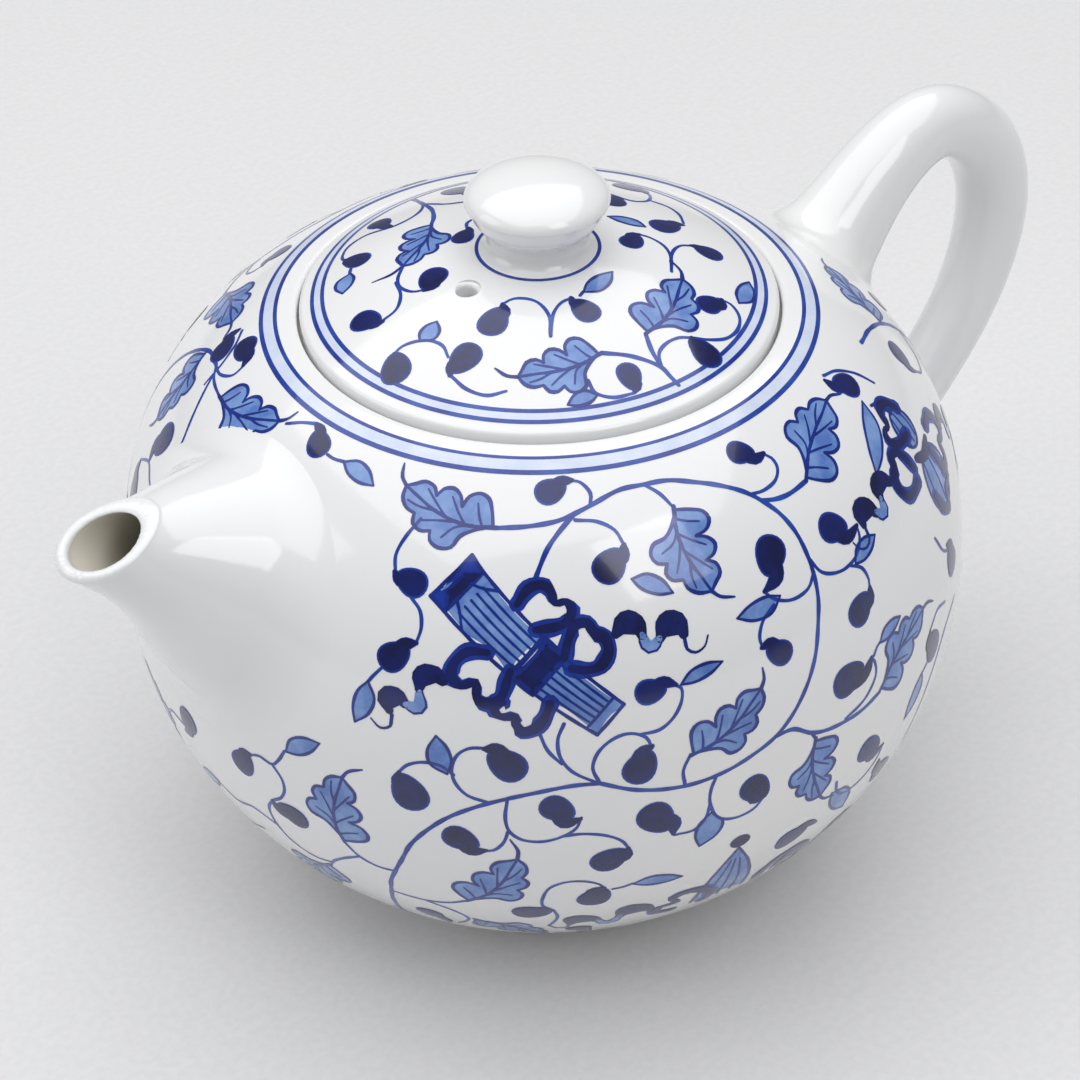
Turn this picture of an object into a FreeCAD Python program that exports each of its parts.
"""Porcelain teapot with a lift-off lid.

Units are millimetres. The origin is the centre of the foot ring on the plane that the pot stands on.
+Z is up, +X is the pouring direction (the spout), and the handle is on the -X side.
"""

import FreeCAD
import Part

import math
import os

from FreeCAD import Base

# ---- driving dimensions -------------------------------------------------------------------------

# Pot wall
BELLY_RADIUS = 51.1
BELLY_HEIGHT = 40.6
SHOULDER_RISE = 40.5
SHOULDER_POWER = 2.44
UNDERSIDE_DROP = 45.9
UNDERSIDE_POWER = 1.92
WALL = 2.6
FLOOR = 3.0
PROFILE_STEPS = 14

# Foot ring
FOOT_OUTER_RADIUS = 27.0
FOOT_INNER_RADIUS = 23.4
FOOT_TOE_RADIUS = 0.6
FOOT_HEIGHT = 2.3

# Mouth and the ledge that carries the lid
MOUTH_RADIUS = 28.2
MOUTH_TOP = 76.0
MOUTH_ROUNDING = 0.6
COLLAR_RADIUS = 31.0
COLLAR_UNDERSIDE = 71.8
SEAT_INNER_RADIUS = 24.4
SEAT_TOP = 74.1

# Lid
LID_RADIUS = 27.9
LID_SEAT_GAP = 0.1
LID_EDGE_ROUNDING = 0.8
LID_THICKNESS = 2.6
DOME_RADIUS = 57.0
DOME_TOP = 83.8
FLANGE_OUTER_RADIUS = 23.9
FLANGE_WALL = 2.0
FLANGE_BOTTOM = 66.5
FLANGE_ROUNDING = 0.8
VENT_RADIUS = 1.2
VENT_OFFSET = 11.2
VENT_AZIMUTH = 5.0

# Knob
KNOB_BASE_RADIUS = 6.9
KNOB_NECK_RADIUS = 5.7
KNOB_NECK_HEIGHT = 86.0
KNOB_HEAD_RADIUS = 8.4
KNOB_HEAD_HEIGHT = 89.9
KNOB_TOP = 93.0
KNOB_SINK = 2.0

# Spout: each station is the centre of a round section (X, Z), the section's tilt from level in
# degrees, its outer radius and its bore radius. The first station lies inside the pot's wall.
SPOUT_STATIONS = (
    (35.0, 51.5, 59.0, 19.8, 12.5),
    (42.8, 58.0, 55.0, 15.8, 11.2),
    (49.2, 62.5, 52.0, 11.4, 7.9),
    (54.7, 66.5, 50.0, 7.3, 4.9),
    (59.4, 69.6, 42.0, 5.3, 3.8),
    (62.7, 73.2, 32.0, 5.6, 4.2),
)
LIP_CENTRE = (60.9, 70.6)
LIP_TILT = 16.0
CUTTER_SIZE = 40.0

# Strainer in the pot's wall behind the spout
STRAINER_RADIUS = 9.0
STRAINER_CENTRE = (45.5, 60.5)
STRAINER_RISE = 38.0
STRAINER_HOLE_RADIUS = 1.1
STRAINER_HOLE_PITCH = 3.6
STRAINER_HOLE_RINGS = 2

# Handle: each station is the centre of a round section (X, Z) and its radius. The first and the
# last station lie inside the pot's wall.
HANDLE_STATIONS = (
    (-37.0, 57.5, 9.6),
    (-42.6, 62.4, 7.8),
    (-48.6, 68.0, 6.2),
    (-55.5, 73.7, 5.2),
    (-63.0, 76.2, 4.8),
    (-70.8, 72.4, 4.8),
    (-75.4, 64.5, 4.8),
    (-75.6, 55.0, 4.6),
    (-72.0, 45.6, 4.3),
    (-65.2, 37.0, 4.2),
    (-56.2, 29.0, 4.5),
    (-49.6, 24.6, 5.3),
    (-43.8, 22.4, 6.3),
    (-37.0, 21.6, 7.4),
)

PARTS_FOLDER = "parts"
AXIS = Base.Vector(0, 0, 1)
CENTRE = Base.Vector(0, 0, 0)


# ---- helpers ------------------------------------------------------------------------------------

def point(radius, height):
    """A point of a turned profile: distance from the axis, and height."""
    return Base.Vector(radius, 0, height)


def line(start, end):
    return Part.LineSegment(point(*start), point(*end)).toShape()


def arc(start, middle, end):
    return Part.Arc(point(*start), point(*middle), point(*end)).toShape()


def spline(points):
    curve = Part.BSplineCurve()
    curve.interpolate([point(*p) for p in points])
    return curve.toShape()


def turned(edges):
    """The solid that a closed profile sweeps round the vertical axis."""
    face = Part.Face(Part.Wire(edges))
    return face.revolve(CENTRE, AXIS, 360)


def cylinder(radius, bottom, top):
    return Part.makeCylinder(radius, top - bottom, point(0, bottom))


def quarter_middle(corner, rounding, side, lift):
    """The middle of a quarter round whose centre is one rounding in from a corner."""
    inset = rounding * (1 - math.sqrt(0.5))
    return (corner[0] + side * inset, corner[1] + lift * inset)


# ---- pot ----------------------------------------------------------------------------------------

def wall_height(radius, inset, above):
    """Height of the pot's wall at a radius, on the surface that lies inset within the outer one."""
    share = radius / (BELLY_RADIUS - inset)
    if above:
        power, reach = SHOULDER_POWER, SHOULDER_RISE - inset
        return BELLY_HEIGHT + reach * (1 - share ** power) ** (1 / power)
    power, reach = UNDERSIDE_POWER, UNDERSIDE_DROP - inset
    return BELLY_HEIGHT - reach * (1 - share ** power) ** (1 / power)


def wall_radius(height, inset):
    """Radius of the pot's wall at a height, on the surface that lies inset within the outer one."""
    if height >= BELLY_HEIGHT:
        power, reach = SHOULDER_POWER, SHOULDER_RISE - inset
    else:
        power, reach = UNDERSIDE_POWER, UNDERSIDE_DROP - inset
    share = abs(height - BELLY_HEIGHT) / reach
    return (BELLY_RADIUS - inset) * (1 - share ** power) ** (1 / power)


def wall_curve(low_height, high_height, inset):
    """Profile of the pot's wall between two heights, with closer points towards both ends."""
    points = []
    for step in range(PROFILE_STEPS + 1):
        share = 0.5 - 0.5 * math.cos(math.pi * step / PROFILE_STEPS)
        height = low_height + (high_height - low_height) * share
        points.append((wall_radius(height, inset), height))
    return points


def pot_outline():
    """The filled outer form of the pot, from the foot ring's top to the collar."""
    collar_height = wall_height(COLLAR_RADIUS, 0, True)
    curve = wall_curve(FOOT_HEIGHT, collar_height, 0)
    return curve, collar_height


def filled_pot():
    curve, collar_height = pot_outline()
    return turned([
        spline(curve),
        line(curve[-1], (0, collar_height)),
        line((0, collar_height), (0, FOOT_HEIGHT)),
        line((0, FOOT_HEIGHT), curve[0]),
    ])


def make_body_shell():
    curve, collar_height = pot_outline()
    rounding_start = (MOUTH_RADIUS + MOUTH_ROUNDING, MOUTH_TOP)
    rounding_end = (MOUTH_RADIUS, MOUTH_TOP - MOUTH_ROUNDING)
    rounding_middle = quarter_middle((MOUTH_RADIUS, MOUTH_TOP), MOUTH_ROUNDING, 1, -1)
    mouth_foot = (MOUTH_RADIUS, COLLAR_UNDERSIDE)
    floor_height = FOOT_HEIGHT + FLOOR
    inner = wall_curve(floor_height, COLLAR_UNDERSIDE, WALL)
    shell = turned([
        spline(curve),
        line(curve[-1], rounding_start),
        arc(rounding_start, rounding_middle, rounding_end),
        line(rounding_end, mouth_foot),
        line(mouth_foot, inner[-1]),
        spline(inner),
        line(inner[0], (0, floor_height)),
        line((0, floor_height), (0, FOOT_HEIGHT)),
        line((0, FOOT_HEIGHT), curve[0]),
    ])
    return shell.cut(strainer_core())


def make_foot_ring():
    toe = FOOT_TOE_RADIUS
    outer, inner = FOOT_OUTER_RADIUS, FOOT_INNER_RADIUS
    profile = [
        line((outer, FOOT_HEIGHT), (outer, toe)),
        arc((outer, toe), quarter_middle((outer, 0), toe, -1, 1), (outer - toe, 0)),
        line((outer - toe, 0), (inner + toe, 0)),
        arc((inner + toe, 0), quarter_middle((inner, 0), toe, 1, 1), (inner, toe)),
        line((inner, toe), (inner, FOOT_HEIGHT)),
        line((inner, FOOT_HEIGHT), (outer, FOOT_HEIGHT)),
    ]
    return turned(profile)


def make_lid_seat():
    return cylinder(MOUTH_RADIUS, COLLAR_UNDERSIDE, SEAT_TOP).cut(
        cylinder(SEAT_INNER_RADIUS, COLLAR_UNDERSIDE, SEAT_TOP))


# ---- spout and strainer -------------------------------------------------------------------------

def round_section(centre_x, centre_z, tangent, radius):
    circle = Part.Circle(Base.Vector(centre_x, 0, centre_z), tangent, radius)
    return Part.Wire(circle.toShape())


def spout_form(radius_index):
    sections = []
    for station in SPOUT_STATIONS:
        centre_x, centre_z, tilt = station[:3]
        turn = math.radians(tilt)
        tangent = Base.Vector(math.sin(turn), 0, math.cos(turn))
        sections.append(round_section(centre_x, centre_z, tangent, station[radius_index]))
    return Part.makeLoft(sections, True, False)


def make_spout():
    spout = spout_form(3).cut(spout_form(4))
    turn = math.radians(LIP_TILT)
    lip_normal = Base.Vector(math.sin(turn), 0, math.cos(turn))
    lip_centre = Base.Vector(LIP_CENTRE[0], 0, LIP_CENTRE[1])
    above_lip = Part.makeCylinder(CUTTER_SIZE, CUTTER_SIZE, lip_centre, lip_normal)
    return spout.cut(above_lip).cut(filled_pot())


def strainer_direction():
    turn = math.radians(STRAINER_RISE)
    return Base.Vector(math.cos(turn), 0, math.sin(turn))


def strainer_core():
    """The round plug of wall, along the spout's axis, that the pierced strainer takes up."""
    along = strainer_direction()
    start = Base.Vector(STRAINER_CENTRE[0], 0, STRAINER_CENTRE[1]) - along * STRAINER_RADIUS
    return Part.makeCylinder(STRAINER_RADIUS, 2 * STRAINER_RADIUS, start, along)


def strainer_hole_centres():
    """Hole centres on rings about the strainer's middle, as (across, up) distances."""
    centres = [(0.0, 0.0)]
    for ring in range(1, STRAINER_HOLE_RINGS + 1):
        count = 6 * ring
        for index in range(count):
            turn = 2 * math.pi * index / count
            reach = ring * STRAINER_HOLE_PITCH
            centres.append((reach * math.cos(turn), reach * math.sin(turn)))
    return centres


def make_spout_strainer():
    floor_height = FOOT_HEIGHT + FLOOR
    outer, collar_height = pot_outline()
    inner = wall_curve(floor_height, COLLAR_UNDERSIDE, WALL)
    wall = turned([
        spline(outer),
        line(outer[-1], inner[-1]),
        spline(inner),
        line(inner[0], outer[0]),
    ])
    plate = wall.common(strainer_core())
    along = strainer_direction()
    across = Base.Vector(0, 1, 0)
    upward = along.cross(across) * -1
    middle = Base.Vector(STRAINER_CENTRE[0], 0, STRAINER_CENTRE[1]) - along * STRAINER_RADIUS
    for across_by, up_by in strainer_hole_centres():
        start = middle + across * across_by + upward * up_by
        plate = plate.cut(Part.makeCylinder(STRAINER_HOLE_RADIUS, 2 * STRAINER_RADIUS, start, along))
    return plate


# ---- handle -------------------------------------------------------------------------------------

def make_handle():
    path = Part.BSplineCurve()
    path.interpolate([Base.Vector(x, 0, z) for x, z, radius in HANDLE_STATIONS])
    sections = []
    for x, z, radius in HANDLE_STATIONS:
        tangent = Base.Vector(*path.tangent(path.parameter(Base.Vector(x, 0, z)))[0])
        sections.append(round_section(x, z, tangent, radius))
    return Part.makeLoft(sections, True, False).cut(filled_pot())


# ---- lid ----------------------------------------------------------------------------------------

def dome_height(radius, inset):
    """Height of the lid's domed surface, inset below its top surface."""
    sphere = DOME_RADIUS - inset
    return DOME_TOP - DOME_RADIUS + math.sqrt(sphere ** 2 - radius ** 2)


def dome_arc(start_radius, end_radius, inset):
    middle_radius = (start_radius + end_radius) / 2
    return arc(
        (start_radius, dome_height(start_radius, inset)),
        (middle_radius, dome_height(middle_radius, inset)),
        (end_radius, dome_height(end_radius, inset)),
    )


def make_lid_dome():
    rim_bottom = SEAT_TOP + LID_SEAT_GAP
    edge_top = LID_RADIUS - LID_EDGE_ROUNDING
    edge_height = dome_height(edge_top, 0)
    edge_side = (LID_RADIUS, edge_height - LID_EDGE_ROUNDING)
    edge_middle = quarter_middle((LID_RADIUS, edge_height), LID_EDGE_ROUNDING, -1, -1)
    inner_height = dome_height(FLANGE_OUTER_RADIUS, LID_THICKNESS)
    dome = turned([
        dome_arc(0, edge_top, 0),
        arc((edge_top, edge_height), edge_middle, edge_side),
        line(edge_side, (LID_RADIUS, rim_bottom)),
        line((LID_RADIUS, rim_bottom), (FLANGE_OUTER_RADIUS, rim_bottom)),
        line((FLANGE_OUTER_RADIUS, rim_bottom), (FLANGE_OUTER_RADIUS, inner_height)),
        dome_arc(FLANGE_OUTER_RADIUS, 0, LID_THICKNESS),
        line((0, DOME_TOP - LID_THICKNESS), (0, DOME_TOP)),
    ])
    turn = math.radians(VENT_AZIMUTH)
    vent_foot = Base.Vector(VENT_OFFSET * math.cos(turn), VENT_OFFSET * math.sin(turn), SEAT_TOP)
    return dome.cut(Part.makeCylinder(VENT_RADIUS, DOME_TOP - SEAT_TOP, vent_foot))


def make_lid_flange():
    outer = FLANGE_OUTER_RADIUS
    inner = outer - FLANGE_WALL
    rounding = FLANGE_ROUNDING
    bottom = FLANGE_BOTTOM
    return turned([
        line((outer, dome_height(outer, LID_THICKNESS)), (outer, bottom + rounding)),
        arc((outer, bottom + rounding), quarter_middle((outer, bottom), rounding, -1, 1),
            (outer - rounding, bottom)),
        line((outer - rounding, bottom), (inner + rounding, bottom)),
        arc((inner + rounding, bottom), quarter_middle((inner, bottom), rounding, 1, 1),
            (inner, bottom + rounding)),
        line((inner, bottom + rounding), (inner, dome_height(inner, LID_THICKNESS))),
        dome_arc(inner, outer, LID_THICKNESS),
    ])


def make_knob():
    foot = (KNOB_BASE_RADIUS, dome_height(KNOB_BASE_RADIUS, 0) - KNOB_SINK)
    base = (KNOB_BASE_RADIUS, dome_height(KNOB_BASE_RADIUS, 0))
    neck = (KNOB_NECK_RADIUS, KNOB_NECK_HEIGHT)
    head_depth = KNOB_HEAD_HEIGHT - KNOB_NECK_HEIGHT
    under_head = (KNOB_HEAD_RADIUS - 0.3 * head_depth, KNOB_HEAD_HEIGHT - 0.6 * head_depth)
    widest = (KNOB_HEAD_RADIUS, KNOB_HEAD_HEIGHT)
    crown_rise = KNOB_TOP - KNOB_HEAD_HEIGHT
    crown = []
    for degrees in (90, 65, 40, 20):
        turn = math.radians(degrees)
        crown.append((KNOB_HEAD_RADIUS * math.sin(turn), KNOB_HEAD_HEIGHT + crown_rise * math.cos(turn)))
    side = [base, neck, under_head] + crown + [(0, KNOB_TOP)]
    knob = turned([
        line((0, foot[1]), foot),
        line(foot, base),
        spline(side),
        line((0, KNOB_TOP), (0, foot[1])),
    ])
    sphere = Part.makeSphere(DOME_RADIUS, point(0, DOME_TOP - DOME_RADIUS))
    return knob.cut(sphere)


# ---- all nodes ----------------------------------------------------------------------------------

NODES = {
    "body_shell": make_body_shell,
    "foot_ring": make_foot_ring,
    "lid_seat": make_lid_seat,
    "spout": make_spout,
    "spout_strainer": make_spout_strainer,
    "handle": make_handle,
    "lid_dome": make_lid_dome,
    "lid_flange": make_lid_flange,
    "knob": make_knob,
}


def main():
    os.makedirs(PARTS_FOLDER, exist_ok=True)
    for name, make in NODES.items():
        shape = make()
        solids = shape.Solids
        print(name, "solids", len(solids), "valid", shape.isValid(), "volume %.0f" % shape.Volume)
        if len(solids) == 1:
            shape = solids[0]
        shape.exportStep(os.path.join(PARTS_FOLDER, name + ".step"))


main()
